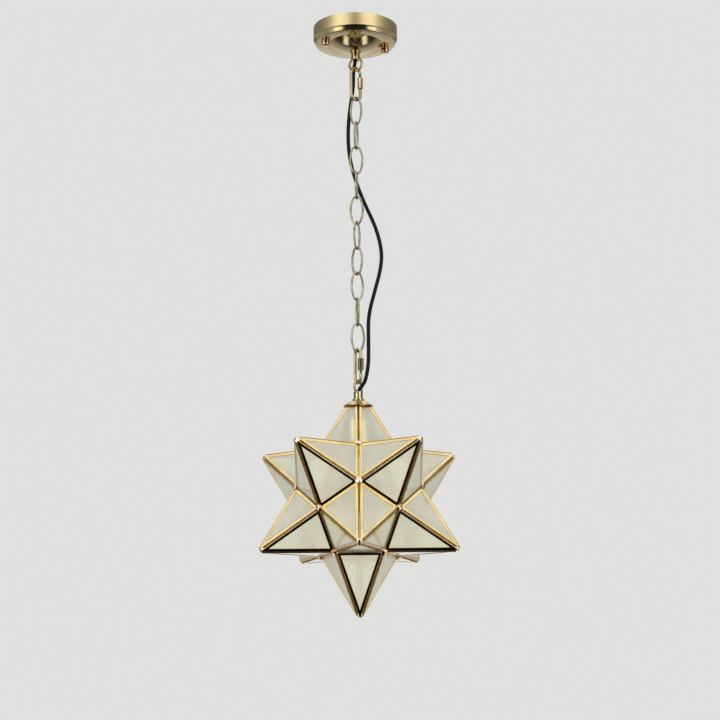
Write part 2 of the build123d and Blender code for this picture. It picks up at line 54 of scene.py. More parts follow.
# camera, looking up at the lamp from two and a half metres away
view = {
    "place": (0.0, -2.4168, -0.9886),
    "right": (0.99997, 0.00056, -0.00825),
    "up": (0.00819, -0.20498, 0.97873),
    "lens": 90.15, "sensor": 36.0, "farthest": 30.0,
}
bpy.ops.object.camera_add(location=view["place"])
camera = bpy.context.object
camera.name = "photoCamera"
camera.data.lens = view["lens"]
camera.data.sensor_width = view["sensor"]
camera.data.clip_end = view["farthest"]
across, upward = Vector(view["right"]), Vector(view["up"])
camera.rotation_euler = Matrix((across, upward, across.cross(upward))).transposed().to_euler()
bpy.context.scene.camera = camera
bpy.context.scene.view_settings.view_transform = "Standard"


def clearSelection():
    if bpy.context.object and bpy.context.object.mode != "OBJECT":
        bpy.ops.object.mode_set(mode="OBJECT")
    bpy.ops.object.select_all(action="DESELECT")


def startEdit(obj):
    clearSelection()
    bpy.context.view_layer.objects.active = obj
    obj.select_set(True)
    bpy.ops.object.mode_set(mode="EDIT")


def pickFaces(obj, test):  # leaves edit mode with only the faces that pass selected
    bpy.ops.mesh.select_mode(type="FACE")
    bpy.ops.mesh.select_all(action="DESELECT")
    bpy.ops.object.mode_set(mode="OBJECT")
    for face in obj.data.polygons:
        face.select = bool(test(face.center, face.normal))
    bpy.ops.object.mode_set(mode="EDIT")


def pickEdges(obj, test):
    bpy.ops.mesh.select_mode(type="EDGE")
    bpy.ops.mesh.select_all(action="DESELECT")
    bpy.ops.object.mode_set(mode="OBJECT")
    spots = obj.data.vertices
    for edge in obj.data.edges:
        edge.select = bool(test(spots[edge.vertices[0]].co, spots[edge.vertices[1]].co))
    bpy.ops.object.mode_set(mode="EDIT")


def extrudeOn(vector):
    bpy.ops.mesh.extrude_region_move(TRANSFORM_OT_translate={"value": Vector(vector) * mm})


def settle(obj, angle=35):  # place into the mesh, clean normals, smooth shading
    clearSelection()
    bpy.context.view_layer.objects.active = obj
    obj.select_set(True)
    bpy.ops.object.transform_apply(location=True, rotation=True, scale=True)
    bpy.ops.object.mode_set(mode="EDIT")
    bpy.ops.mesh.select_all(action="SELECT")
    bpy.ops.mesh.remove_doubles(threshold=1e-6)
    bpy.ops.mesh.normals_make_consistent(inside=False)
    bpy.ops.object.mode_set(mode="OBJECT")
    bpy.ops.object.shade_smooth_by_angle(angle=radians(angle))


def copyTo(source, name, matrix):  # each copy has its own mesh, placed in the mesh
    piece = bpy.data.objects.new(name, source.data.copy())
    piece.data.transform(matrix)
    bpy.context.collection.objects.link(piece)
    return piece


def joinPieces(parts, name):
    clearSelection()
    for part in parts:
        part.select_set(True)
    bpy.context.view_layer.objects.active = parts[0]
    bpy.ops.object.join()
    joined = bpy.context.object
    joined.name = name
    joined.data.name = name
    return joined


def discard(*parts):
    for part in parts:
        bpy.data.objects.remove(part)


def newMaterial(name):
    material = bpy.data.materials.new(name)
    material.use_nodes = True
    nodes, links = material.node_tree.nodes, material.node_tree.links
    return material, nodes, links, nodes["Principled BSDF"]


def mappedNoise(nodes, links, scale, detail, stretch=(1, 1, 1)):
    coords = nodes.new("ShaderNodeTexCoord")
    mapping = nodes.new("ShaderNodeMapping")
    mapping.inputs["Scale"].default_value = stretch
    noise = nodes.new("ShaderNodeTexNoise")
    noise.inputs["Scale"].default_value = scale
    noise.inputs["Detail"].default_value = detail
    links.new(coords.outputs["Object"], mapping.inputs["Vector"])
    links.new(mapping.outputs["Vector"], noise.inputs["Vector"])
    return noise.outputs["Fac"]


def ramp(nodes, links, source, low, high, start=0.3, end=0.7):  # two colours, or two grey levels
    node = nodes.new("ShaderNodeValToRGB")
    stops = node.color_ramp.elements
    for stop, position, level in ((stops[0], start, low), (stops[1], end, high)):
        stop.position = position
        stop.color = (*level, 1) if isinstance(level, tuple) else (level, level, level, 1)
    links.new(source, node.inputs["Fac"])
    return node.outputs["Color"]


def addBump(nodes, links, shader, height, look):
    bump = nodes.new("ShaderNodeBump")
    bump.inputs["Strength"].default_value = look["bump"]
    bump.inputs["Distance"].default_value = look.get("depth", 0.0002)
    links.new(height, bump.inputs["Height"])
    links.new(bump.outputs["Normal"], shader.inputs["Normal"])


def makeFinish(name, look, sockets, cloudDetail, grainDetail):  # cloudy colour, grainy gloss and bump
    material, nodes, links, shader = newMaterial(name)
    for socket, value in sockets.items():
        shader.inputs[socket].default_value = value
    stretch = look.get("stretch", (1, 1, 1))
    cloud = mappedNoise(nodes, links, look["patch"], cloudDetail, stretch)
    links.new(ramp(nodes, links, cloud, look["dark"], look["light"]), shader.inputs["Base Color"])
    grain = mappedNoise(nodes, links, look["grain"], grainDetail, stretch)
    links.new(ramp(nodes, links, grain, *look["roughness"]), shader.inputs["Roughness"])
    addBump(nodes, links, shader, grain, look)
    return material


def metalFinish(name, look):
    return makeFinish(name, look, {"Metallic": look.get("metallic", 1.0)}, 3.0, 6.0)


def frostedGlass(name, look):
    sockets = {
        "Transmission Weight": look["transmission"], "IOR": look["refraction"],
        "Coat Weight": look["coat"], "Coat Roughness": look["coatRoughness"],
    }
    return makeFinish(name, look, sockets, 3.0, 5.0)


def dullFinish(name, look):
    return makeFinish(name, look, {}, 4.0, 5.0)


finishes = {
    "satinBrass": {
        "dark": (0.70, 0.54, 0.29), "light": (0.79, 0.62, 0.35), "patch": 14, "grain": 120,
        "stretch": (1, 1, 6), "roughness": (0.34, 0.40), "bump": 0.006,
    },
    "polishedCanopy": {
        "dark": (0.51, 0.40, 0.20), "light": (0.57, 0.45, 0.25), "patch": 14, "grain": 120,
        "roughness": (0.12, 0.16), "bump": 0.003,
    },
    "polishedBrass": {
        "dark": (0.40, 0.31, 0.14), "light": (0.68, 0.55, 0.29), "patch": 90, "grain": 400,
        "roughness": (0.04, 0.08), "bump": 0.008,
    },
    "cameBrass": {
        "dark": (0.68, 0.50, 0.21), "light": (0.86, 0.67, 0.33), "patch": 30, "grain": 160,
        "roughness": (0.07, 0.12), "bump": 0.01,
    },
    # darker brass for the walls in the V-groove between came strips: painted shade
    "paintedGrooveShade": {
        "dark": (0.38, 0.22, 0.07), "light": (0.54, 0.34, 0.12), "patch": 60, "grain": 260,
        "roughness": (0.20, 0.30), "bump": 0.03,
    },
    "chainBrass": {
        "dark": (0.20, 0.165, 0.10), "light": (0.56, 0.50, 0.35), "patch": 110, "grain": 400,
        "roughness": (0.05, 0.09), "bump": 0.01,
    },
    "rosyBrass": {
        "dark": (0.68, 0.43, 0.20), "light": (0.86, 0.60, 0.34), "patch": 80, "grain": 400,
        "roughness": (0.10, 0.18), "bump": 0.02,
    },
    "solderRose": {
        "dark": (0.76, 0.54, 0.33), "light": (0.98, 0.82, 0.62), "patch": 220, "grain": 380,
        "roughness": (0.08, 0.20), "bump": 0.45, "depth": 0.0005,
    },
    "cupBrass": {
        "metallic": 0.9, "dark": (0.98, 0.84, 0.50), "light": (1.0, 0.90, 0.58), "patch": 40,
        "grain": 200, "roughness": (0.14, 0.20), "bump": 0.01,
    },
    "zincSteel": {
        "dark": (0.42, 0.42, 0.40), "light": (0.62, 0.62, 0.60), "patch": 60, "grain": 500,
        "roughness": (0.25, 0.45), "bump": 0.1,
    },
    "greenPaint": {
        "metallic": 0.3, "dark": (0.02, 0.16, 0.05), "light": (0.03, 0.22, 0.07), "patch": 90,
        "grain": 500, "roughness": (0.3, 0.5), "bump": 0.1,
    },
}
metals = {name: metalFinish(name, look) for name, look in finishes.items()}
paneGlass = frostedGlass("frostedPane", {
    "dark": (0.88, 0.88, 0.74), "light": (0.92, 0.92, 0.79), "patch": 9, "grain": 70,
    "roughness": (0.13, 0.17), "transmission": 0.70, "refraction": 1.46, "coat": 0.5,
    "coatRoughness": 0.04, "bump": 0.0,
})
bulbGlass = frostedGlass("opalBulb", {
    "dark": (0.86, 0.86, 0.83), "light": (0.92, 0.92, 0.90), "patch": 12, "grain": 300,
    "roughness": (0.25, 0.35), "transmission": 0.15, "refraction": 1.46, "coat": 0.5,
    "coatRoughness": 0.04, "bump": 0.02,
})
porcelain = dullFinish("glazedHolder", {
    "dark": (0.74, 0.72, 0.66), "light": (0.84, 0.82, 0.76), "patch": 30, "grain": 300,
    "roughness": (0.15, 0.3), "bump": 0.05,
})


def cordFinish(name, look):  # strands that lie slantwise under the sheath, faint
    material, nodes, links, shader = newMaterial(name)
    place = nodes.new("ShaderNodeUVMap")
    place.uv_map = "sheath"
    parts = nodes.new("ShaderNodeSeparateXYZ")
    links.new(place.outputs["UV"], parts.inputs["Vector"])
    total = nodes.new("ShaderNodeMath")  # turns round the cord and turns along it, added up
    rates = (("X", 2 * pi * look["strands"]), ("Y", 2 * pi / look["pitch"]))
    for (output, rate), socket in zip(rates, total.inputs):
        scaled = nodes.new("ShaderNodeMath")
        scaled.operation = "MULTIPLY"
        scaled.inputs[1].default_value = rate
        links.new(parts.outputs[output], scaled.inputs[0])
        links.new(scaled.outputs[0], socket)
    wave = nodes.new("ShaderNodeMath")
    wave.operation = "SINE"
    links.new(total.outputs[0], wave.inputs[0])
    colour = ramp(nodes, links, wave.outputs[0], look["dark"], look["light"], 0.0, 1.0)
    links.new(colour, shader.inputs["Base Color"])
    grain = mappedNoise(nodes, links, look["grain"], 5.0)
    links.new(ramp(nodes, links, grain, *look["roughness"]), shader.inputs["Roughness"])
    shader.inputs["Specular IOR Level"].default_value = look["gloss"]
    addBump(nodes, links, shader, wave.outputs[0], look)
    return material


cordBlack = cordFinish("cordSheath", {
    "strands": 3, "pitch": 0.009, "dark": (0.003, 0.003, 0.003), "light": (0.011, 0.011, 0.011),
    "grain": 900, "roughness": (0.38, 0.52), "bump": 0.25, "gloss": 0.13,
})
floorPaint = dullFinish("paleFloor", {
    "dark": (0.765, 0.765, 0.755), "light": (0.785, 0.785, 0.775), "patch": 3, "grain": 40,
    "roughness": (0.5, 0.7), "bump": 0.02,
})


def dress(obj, material):
    obj.data.materials.clear()
    obj.data.materials.append(material)


def dressPart(obj, first, second, test):  # the faces that pass the test get the second finish
    obj.data.materials.clear()
    obj.data.materials.append(first)
    obj.data.materials.append(second)
    for face in obj.data.polygons:
        face.material_index = int(bool(test(face.center, face.normal)))


def dressNode(node, material):
    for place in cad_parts[node].material_slots:
        place.material = material


print("finishes made")

# the cord: its route from inside the canopy's loop down into the star's, one span to a link
powerCord = {
    "radius": 0.0026, "sides": 20, "bendReach": 0.011, "stepsPerPoint": 12, "closest": 1e-5,
    "route": [
        (0.0, 0.0, -0.040),
        (0.0, 0.0, -0.0495),
        (-0.0034, 0.0082, -0.061),
        (-0.0030, 0.0086, -0.084),
        (-0.0092, 0.0114, -0.120),
        (-0.0119, 0.0140, -0.157),
        (-0.0092, 0.0158, -0.191),
        (0.0003, 0.0180, -0.226),
        (0.0120, 0.0160, -0.257),
        (0.0266, 0.0110, -0.291),
        (0.0346, 0.0054, -0.326),
        (0.0328, 0.0030, -0.353),
        (0.0236, -0.0004, -0.387),
        (0.0148, -0.0046, -0.421),
        (0.0146, -0.0088, -0.455),
        (0.0146, -0.0110, -0.485),
        (0.0124, -0.0088, -0.503),
        (0.0086, -0.0032, -0.5155),
        (0.0, 0.0, -0.5246),
        (0.0, 0.0, -0.534),
    ],
}
hangers = ["canopy_loop", "upper_quick_link"] + [f"chain_link_{n:02d}" for n in range(1, 11)]
hangers += ["lower_quick_link", "star_loop"]


def cordLine():  # the points of the smooth line that the route's corners pull on
    curve = bpy.data.curves.new("cordRoute", "CURVE")
    curve.dimensions = "3D"
    spline = curve.splines.new("NURBS")
    spline.points.add(len(powerCord["route"]) - 1)
    for spot, place in zip(spline.points, powerCord["route"]):
        spot.co = (*place, 1)
    spline.order_u = 3
    spline.use_endpoint_u = True
    spline.resolution_u = powerCord["stepsPerPoint"]
    holder = bpy.data.objects.new("cordRoute", curve)
    bpy.context.collection.objects.link(holder)
    line = [vertex.co.copy() for vertex in bpy.data.meshes.new_from_object(holder).vertices]
    discard(holder)
    return line


def cutLine(line, heights):  # the line falls all the way, so each height cuts it once
    spans, current, waiting = [], [line[0]], list(heights)
    for spot in line[1:]:
        while waiting and spot.z < waiting[0]:
            above = current[-1]
            share = (above.z - waiting[0]) / (above.z - spot.z)
            current.append(above.lerp(spot, share))
            spans.append(current)
            current = [current[-1]]
            waiting.pop(0)
        if (spot - current[-1]).length > powerCord["closest"]:
            current.append(spot)
    return spans + [current]


def cordSpan(name, spots, side, travelled):  # a closed tube along the spots, with its own map
    radius, sides = powerCord["radius"], powerCord["sides"]
    circle = [(cos(2 * pi * k / sides), sin(2 * pi * k / sides)) for k in range(sides)]
    rings, along = [], [travelled]
    for index, spot in enumerate(spots):
        before, after = spots[max(index - 1, 0)], spots[min(index + 1, len(spots) - 1)]
        heading = (after - before).normalized()
        side = (side - heading * heading.dot(side)).normalized()
        other = heading.cross(side)
        rings += [spot + (side * x + other * y) * radius for x, y in circle]
        if index:
            along.append(along[-1] + (spot - spots[index - 1]).length)
    faces = []
    last = (len(spots) - 1) * sides
    for low in range(0, last, sides):
        high = low + sides
        faces += [(low + k, low + (k + 1) % sides, high + (k + 1) % sides, high + k) for k in range(sides)]
    mesh = bpy.data.meshes.new(name)
    ends = [tuple(reversed(range(sides))), tuple(range(last, last + sides))]
    mesh.from_pydata(rings, [], faces + ends)
    sheath = mesh.uv_layers.new(name="sheath")
    for face in list(mesh.polygons)[:len(faces)]:
        row, k = divmod(face.index, sides)
        corners = ((k, row), (k + 1, row), (k + 1, row + 1), (k, row + 1))
        for loop, (u, v) in zip(face.loop_indices, corners):
            sheath.data[loop].uv = (u / sides, along[v])
    span = bpy.data.objects.new(name, mesh)
    bpy.context.collection.objects.link(span)
    startEdit(span)
    bpy.ops.mesh.select_all(action="SELECT")
    bpy.ops.mesh.normals_make_consistent(inside=False)
    bpy.ops.object.mode_set(mode="OBJECT")
    bpy.ops.object.shade_smooth_by_angle(angle=radians(60))
    return span, side, along[-1]


boxes = {node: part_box(node) for node in hangers}
middles = [(boxes[node][0][2] + boxes[node][1][2]) / 2 for node in hangers[1:-1]]
spans = cutLine(cordLine(), middles)
acrossCord, travelled = Vector((1, 0, 0)), 0.0
for number, spots in enumerate(spans, 1):
    span, acrossCord, travelled = cordSpan(f"powerCord{number:02d}", spots, acrossCord, travelled)
    dress(span, cordBlack)
    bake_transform(span)
    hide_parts("power_cord")
print("cord made:", len(spans), "spans,", round(travelled, 3), "m")


# the star: one side of came, five to a point, twelve points; solder on the tips and in the corners
star = {
    "centre": -678.03, "panelBase": 65.0, "tipCut": 9.35, "topCorner": 19.6,
    "thickness": 3.0, "leg": 4.2, "ridgeGap": 0.02, "baseGap": 0.05, "edgeRound": 0.8, "roundSteps": 3,
    "sheet": 400.0, "wallTilt": 0.35, "ridgeReach": 0.2, "baseReach": 0.3,
    "tipBlob": 4.8, "tipFlat": 0.8, "tipSink": 1.9, "tipSeed": 3,
    "cornerBlob": 5.0, "cornerFlat": 0.55, "cornerRise": 0.4, "cornerSeed": 8,
    "lumps": 0.12, "lumpSmooth": 0.35,
}
edgeLean = radians(18)  # of a panel's slanted edge from the panel's middle line
slant = star["panelBase"] / 2 * tan(radians(72))
baseApothem = star["panelBase"] / 2 / tan(radians(36))
baseCorner = star["panelBase"] / 2 / sin(radians(36))
pointHeight = sqrt(slant**2 - baseApothem**2)
coreApothem = star["panelBase"] / 2 * sqrt((25 + 11 * sqrt(5)) / 10)
coreCorner = hypot(coreApothem, baseCorner)
ridgeInset = star["thickness"] * (sqrt(5) - 1) / 2 + star["ridgeGap"]
starMiddle = Vector((0, 0, star["centre"]))


def ringAxis(azimuth, side):  # side is 1 for the upper ring of five points and -1 for the lower
    out = 2 / sqrt(5)
    return Vector((out * cos(radians(azimuth)), out * sin(radians(azimuth)), side / sqrt(5)))


pointAxes = {
    "top": Vector((0, 0, 1)),
    "upper_left": ringAxis(162, 1),
    "upper_front_left": ringAxis(234, 1),
    "upper_front_right": ringAxis(306, 1),
    "upper_right": ringAxis(18, 1),
    "upper_back": ringAxis(90, 1),
    "lower_front": ringAxis(270, -1),
    "lower_right": ringAxis(342, -1),
    "lower_back_right": ringAxis(54, -1),
    "lower_back_left": ringAxis(126, -1),
    "lower_left": ringAxis(198, -1),
    "bottom": Vector((0, 0, -1)),
}
hingedPoint = "upper_back"


def planeMatrix(origin, xAxis, zAxis):
    z = zAxis.normalized()
    x = (xAxis - z * z.dot(xAxis)).normalized()
    y = z.cross(x)
    turn = Matrix((x, y, z)).transposed().to_4x4()
    return Matrix.Translation(origin) @ turn


def pointMatrix(name):
    axis = pointAxes[name]
    towards = Vector((0, 0, 1 if axis.z > 0 else -1))
    if name == "top":
        towards = pointAxes[hingedPoint]
    if name == "bottom":
        towards = pointAxes["lower_front"]
    return planeMatrix((starMiddle + axis * coreApothem) * mm, towards, axis)


sideMatrix = planeMatrix(  # panel plane of the first side, x along its base, y up its slope
    Vector((baseApothem, 0, 0)) * mm, Vector((0, 1, 0)), Vector((pointHeight, 0, baseApothem))
)


def cutAway(at, outward):  # what lies outward of the place goes
    bpy.ops.mesh.select_all(action="SELECT")
    bpy.ops.mesh.bisect(plane_co=Vector(at) * mm, plane_no=outward, clear_outer=True)


def cameSide(name, topSlope, topStrip):  # the three or four strips of came round one panel
    clearSelection()
    bpy.ops.mesh.primitive_plane_add(size=star["sheet"] * mm)
    side = bpy.context.object
    side.name = name
    startEdit(side)
    for leftRight in (-1, 1):  # the two slanted edges
        outward = Vector((leftRight * cos(edgeLean), sin(edgeLean), 0))
        cutAway(Vector((0, slant, 0)) - outward * ridgeInset, outward)
    cutAway((0, star["baseGap"], 0), (0, -1, 0))
    if topStrip:
        cutAway((0, topSlope, 0), (0, 1, 0))
    bpy.ops.mesh.select_all(action="SELECT")
    bpy.ops.mesh.inset(thickness=star["leg"] * mm, depth=0)
    bpy.ops.mesh.delete(type="FACE")
    cutAway((0, topSlope, 0), (0, 1, 0))
    bpy.ops.mesh.select_all(action="SELECT")
    extrudeOn((0, 0, -star["thickness"]))
    bpy.ops.mesh.select_all(action="SELECT")
    bpy.ops.mesh.normals_make_consistent(inside=False)

    def alongStrip(one, two):  # long edges of the outer and inner faces, not the mitres
        if abs(one.z - two.z) > 1e-6:
            return False
        run = (two - one).normalized()
        slopes = [Vector((way * sin(edgeLean), cos(edgeLean), 0)) for way in (-1, 1)]
        straight = max(abs(run.x), *(abs(run.dot(slope)) for slope in slopes))
        atTop = min(one.y, two.y) > (topSlope - 0.01) * mm
        return straight > 0.9999 and not (atTop and abs(run.x) > 0.9)

    pickEdges(side, alongStrip)
    bpy.ops.mesh.bevel(
        offset=star["edgeRound"] * mm, segments=star["roundSteps"], profile=0.5,
        affect="EDGES", clamp_overlap=True,
    )
    settle(side, 50)

    def inPaintedGrooveShade(centre, normal):  # the outer walls, which face the next side's walls, get darker brass there as painted shade in the groove
        past = abs(centre.x) * cos(edgeLean) + (centre.y - slant * mm) * sin(edgeLean)
        atRidge = past > -(ridgeInset + star["ridgeReach"]) * mm
        atBase = centre.y < star["baseReach"] * mm
        return abs(normal.z) < star["wallTilt"] and (atRidge or atBase)

    # the groove walls get the darker brass, painted shade in the V-groove between strips
    dressPart(side, metals["cameBrass"], metals["paintedGrooveShade"], inPaintedGrooveShade)
    return side


def solderBlob(name, radius, flat, seed):  # a flattened, lumpy bead
    clearSelection()
    bpy.ops.mesh.primitive_ico_sphere_add(subdivisions=3, radius=radius * mm)
    blob = bpy.context.object
    blob.name = name
    startEdit(blob)
    bpy.ops.mesh.select_all(action="SELECT")
    bpy.ops.transform.resize(value=(1, 1, flat))
    lump = radius * star["lumps"] * mm
    bpy.ops.transform.vertex_random(offset=lump, uniform=0.5, normal=1.0, seed=seed)
    bpy.ops.mesh.vertices_smooth(factor=star["lumpSmooth"], repeat=1)
    settle(blob, 60)
    return blob


tipHeight = pointHeight - star["tipCut"]
topHeight = pointHeight * (1 - star["topCorner"] / baseCorner)
slopePerHeight = slant / pointHeight
sides = {
    "pointed": cameSide("cameSide", tipHeight * slopePerHeight, False),
    "opened": cameSide("cameSideTop", topHeight * slopePerHeight, True),
}
tipBlob = solderBlob("tipSolder", star["tipBlob"], star["tipFlat"], star["tipSeed"])
cornerBlob = solderBlob("cornerSolder", star["cornerBlob"], star["cornerFlat"], star["cornerSeed"])

for name in pointAxes:
    pointPlace = pointMatrix(name)
    body = "access_point_body" if name == hingedPoint else "star_body"
    kind = "opened" if name == "top" else "pointed"
    five = [
        copyTo(sides[kind], "came", pointPlace @ Matrix.Rotation(radians(turn), 4, "Z") @ sideMatrix)
        for turn in range(0, 360, 72)
    ]
    came = joinPieces(five, "came_" + name)
    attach(came, body)
    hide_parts(f"star_point_{name}_frame")
    if name != "top":
        rise = Matrix.Translation((0, 0, (tipHeight - star["tipSink"]) * mm))
        tip = copyTo(tipBlob, "tipSolder_" + name, pointPlace @ rise)
        dress(tip, metals["solderRose"])
        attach(tip, body)
    dressNode(f"star_point_{name}_glass", paneGlass)

neighbourDot = 0.4  # the axes of two points that meet have a dot product of 0.447, others less than 0
blobs = []
for trio in combinations(pointAxes, 3):  # a corner wherever three points meet
    one, two, three = [pointAxes[name] for name in trio]
    meet = min(one.dot(two), two.dot(three), one.dot(three)) > neighbourDot
    if meet and hingedPoint not in trio:
        outward = (one + two + three).normalized()
        corner = (starMiddle + outward * (coreCorner + star["cornerRise"])) * mm
        blobs.append(copyTo(cornerBlob, "blob", planeMatrix(corner, Vector((0.3, 0.5, 0.8)), outward)))
cornerJoints = joinPieces(blobs, "cornerSolderAll")
dress(cornerJoints, metals["solderRose"])
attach(cornerJoints, "star_body")
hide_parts("solder_joints")
discard(*sides.values(), tipBlob, cornerBlob)
print("star made")

# screw loops: flange, neck and ring, one at the canopy and one on the star
screwLoop = {
    "flange": 8.0, "flangeHeight": 2.5, "rimRound": 0.55, "neck": 6.2, "neckHeight": 10.8,
    "shoulder": 0.7, "shoulderShare": 0.87, "bore": 3.2, "boreEdge": 0.35, "pipeGrip": 6.5, "pipeGap": 0.3,
    "ring": 11.2, "wire": 3.6, "sink": 1.5, "hiddenWall": 0.6, "hiddenTop": 0.5,
    "canopySeat": -35.0, "canopyTurn": -24.0, "starSeat": -539.7, "starTurn": 59.0,
}


def modelScrewLoop(name):
    clearSelection()
    neckEnd = screwLoop["flangeHeight"] + screwLoop["neckHeight"]
    bpy.ops.mesh.primitive_cylinder_add(
        vertices=48, radius=screwLoop["flange"] * mm, depth=screwLoop["flangeHeight"] * mm,
        location=(0, 0, screwLoop["flangeHeight"] / 2 * mm),
    )
    stem = bpy.context.object
    bpy.ops.object.transform_apply(location=True)
    startEdit(stem)
    pickFaces(stem, lambda centre, normal: normal.z > 0.9)
    bpy.ops.mesh.inset(thickness=(screwLoop["flange"] - screwLoop["neck"]) * mm, depth=0)
    extrudeOn((0, 0, screwLoop["neckHeight"] - screwLoop["shoulder"]))
    extrudeOn((0, 0, screwLoop["shoulder"]))
    share, edge = screwLoop["shoulderShare"], screwLoop["boreEdge"]
    bpy.ops.transform.resize(value=(share, share, 1))
    bpy.ops.mesh.inset(thickness=(screwLoop["neck"] * share - screwLoop["bore"] - edge) * mm, depth=0)
    bpy.ops.mesh.inset(thickness=edge * mm, depth=-edge * mm)
    extrudeOn((0, 0, screwLoop["pipeGrip"] + screwLoop["pipeGap"] - neckEnd))

    def onRim(one, two):  # the level edges round the flange, above and below
        reaches = (hypot(one.x, one.y) / mm, hypot(two.x, two.y) / mm)
        atFlange = min(reaches) > screwLoop["flange"] - 0.1
        return atFlange and abs(one.z - two.z) < 1e-7

    pickEdges(stem, onRim)
    bpy.ops.mesh.bevel(offset=screwLoop["rimRound"] * mm, segments=3, affect="EDGES")
    settle(stem, 40)
    clearSelection()
    bpy.ops.mesh.primitive_torus_add(
        major_radius=(screwLoop["ring"] - screwLoop["wire"] / 2) * mm,
        minor_radius=screwLoop["wire"] / 2 * mm, major_segments=72, minor_segments=20,
        location=(0, 0, (neckEnd - screwLoop["sink"] - screwLoop["wire"] + screwLoop["ring"]) * mm),
        rotation=(pi / 2, 0, 0),
    )
    ring = bpy.context.object
    bpy.ops.object.transform_apply(location=True, rotation=True)
    startEdit(ring)  # the part of the ring that is hidden in the neck goes
    inNeck = (screwLoop["neck"] - screwLoop["hiddenWall"]) * mm
    below = (neckEnd - screwLoop["hiddenTop"]) * mm
    pickFaces(ring, lambda at, normal: hypot(at.x, at.y) < inNeck and at.z < below)
    bpy.ops.mesh.delete(type="FACE")
    settle(ring, 60)
    return joinPieces([stem, ring], name)


masterLoop = modelScrewLoop("screwLoop")
for end, up, body in (("canopy", -1, "canopy_assembly"), ("star", 1, "star_body")):
    seat, turn = screwLoop[end + "Seat"], radians(screwLoop[end + "Turn"])
    sideways = Vector((cos(turn), sin(turn), 0))
    place = planeMatrix(Vector((0, 0, seat)) * mm, sideways, Vector((0, 0, up)))
    loop = copyTo(masterLoop, end + "ScrewLoop", place)
    dress(loop, metals["polishedBrass"])
    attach(loop, body)
    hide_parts(end + "_loop")
discard(masterLoop)
print("screw loops made")


# turned pieces: a circle is drawn out along a half section, each corner a radius and a height
def turnPiece(name, section, points=96):
    clearSelection()
    radius, height = section[0]
    bpy.ops.mesh.primitive_circle_add(
        vertices=points, radius=radius * mm, location=(0, 0, height * mm), fill_type="NOTHING"
    )
    piece = bpy.context.object
    piece.name = name
    bpy.ops.object.transform_apply(location=True)
    startEdit(piece)
    bpy.ops.mesh.select_mode(type="EDGE")
    bpy.ops.mesh.select_all(action="SELECT")
    for nextRadius, nextHeight in section[1:]:
        extrudeOn((0, 0, nextHeight - height))
        if nextRadius == 0:
            bpy.ops.mesh.merge(type="CENTER")
            break
        share = nextRadius / radius
        bpy.ops.transform.resize(value=(share, share, 1), center_override=(0, 0, 0))
        radius, height = nextRadius, nextHeight
    return piece


def arcCorners(centre, radius, start, end, steps):  # part of a section that is round
    turns = [radians(start + (end - start) * step / steps) for step in range(steps + 1)]
    return [(centre[0] + radius * cos(turn), centre[1] + radius * sin(turn)) for turn in turns]


def domeCorners(inner, outer, steps):  # part of a sphere, from its rim in to its seat
    rise = inner[1] - outer[1]
    total = (outer[0] ** 2 - inner[0] ** 2) / abs(rise)
    sphere = hypot((total + abs(rise)) / 2, inner[0])
    way = 1 if rise > 0 else -1
    middle = inner[1] - way * sqrt(sphere**2 - inner[0] ** 2)
    corners = []
    for step in range(steps + 1):
        radius = outer[0] + (inner[0] - outer[0]) * step / steps
        corners.append((radius, middle + way * sqrt(sphere**2 - radius**2)))
    return corners


canopy = {
    "radius": 59.5, "height": 24.0, "wall": 0.8, "topEdge": 0.2, "edgeTop": 17.8, "edgeStep": 0.5,
    "edgeHip": (57.9, 20.6), "edgeFoot": (57.0, 22.6), "footRound": 0.5, "ringRadius": 55.4,
    "crease": 0.6, "domeRadius": 38.0, "domeDrop": 11.0, "domeSteps": 14, "seat": 8.5, "seatEdge": 0.4,
    "hole": 5.2,
}
capNut = {
    "radius": 6.0, "height": 8.0, "bore": 3.3, "collar": 4.8, "collarFoot": 0.5, "shoulder": 1.3,
    "round": 0.5, "belt": 3.84, "groove": 0.45, "domeRound": 2.8, "spacing": 88.9, "turn": 19.0,
}
cap = {
    "radius": 20.6, "rim": 1.0, "height": 8.2, "wall": 1.0, "wallShare": 0.4, "edge": 0.3, "seat": 8.0,
    "seatEdge": 0.4, "hole": 5.2, "steps": 10,
}


def modelCanopy(name):
    wide, deep, wall = canopy["radius"], canopy["height"], canopy["wall"]
    lip, step, edgeTop = canopy["topEdge"], canopy["edgeStep"], canopy["edgeTop"]
    (hipRadius, hipDepth), (footRadius, footDepth) = canopy["edgeHip"], canopy["edgeFoot"]
    foot, ring, seat = canopy["footRound"], canopy["ringRadius"], canopy["seat"]
    dome = domeCorners(
        (seat, -deep - canopy["domeDrop"]), (canopy["domeRadius"], -deep), canopy["domeSteps"]
    )
    outside = [
        (wide - wall, 0), (wide - lip, 0), (wide, -lip), (wide, -edgeTop),
        (wide - step, -edgeTop - step), (hipRadius, -hipDepth), (footRadius, -footDepth),
        (footRadius - foot, foot - deep), (ring, -deep), (canopy["domeRadius"] + canopy["crease"], -deep),
    ]
    seatEdge = [(seat - canopy["seatEdge"], dome[-1][1]), (canopy["hole"], dome[-1][1])]
    inside = [(radius, height + wall) for radius, height in reversed(dome + seatEdge)]
    inside += [(ring - wall / 2, wall - deep), (footRadius - wall, wall - footDepth)]
    inside += [(wide - wall - step, -edgeTop), (wide - wall, 2 * step - edgeTop), (wide - wall, 0)]
    return turnPiece(name, outside + dome + seatEdge + inside, 144)


def modelCapNut(name):
    wide, tall, soft = capNut["radius"], capNut["height"], capNut["round"]
    collar, foot, shoulder = capNut["collar"], capNut["collarFoot"], capNut["shoulder"]
    belt, dome = capNut["belt"], capNut["domeRound"]
    section = [(capNut["bore"], 0), (collar, 0), (collar, -foot), (wide - soft, soft - shoulder)]
    section += [(wide, -shoulder), (wide, soft - belt), (wide - capNut["groove"], -belt)]
    section += [(wide, -belt - soft)] + arcCorners((wide - dome, dome - tall), dome, 0, -80, 6)
    return turnPiece(name, section + [(0, -tall)], 40)


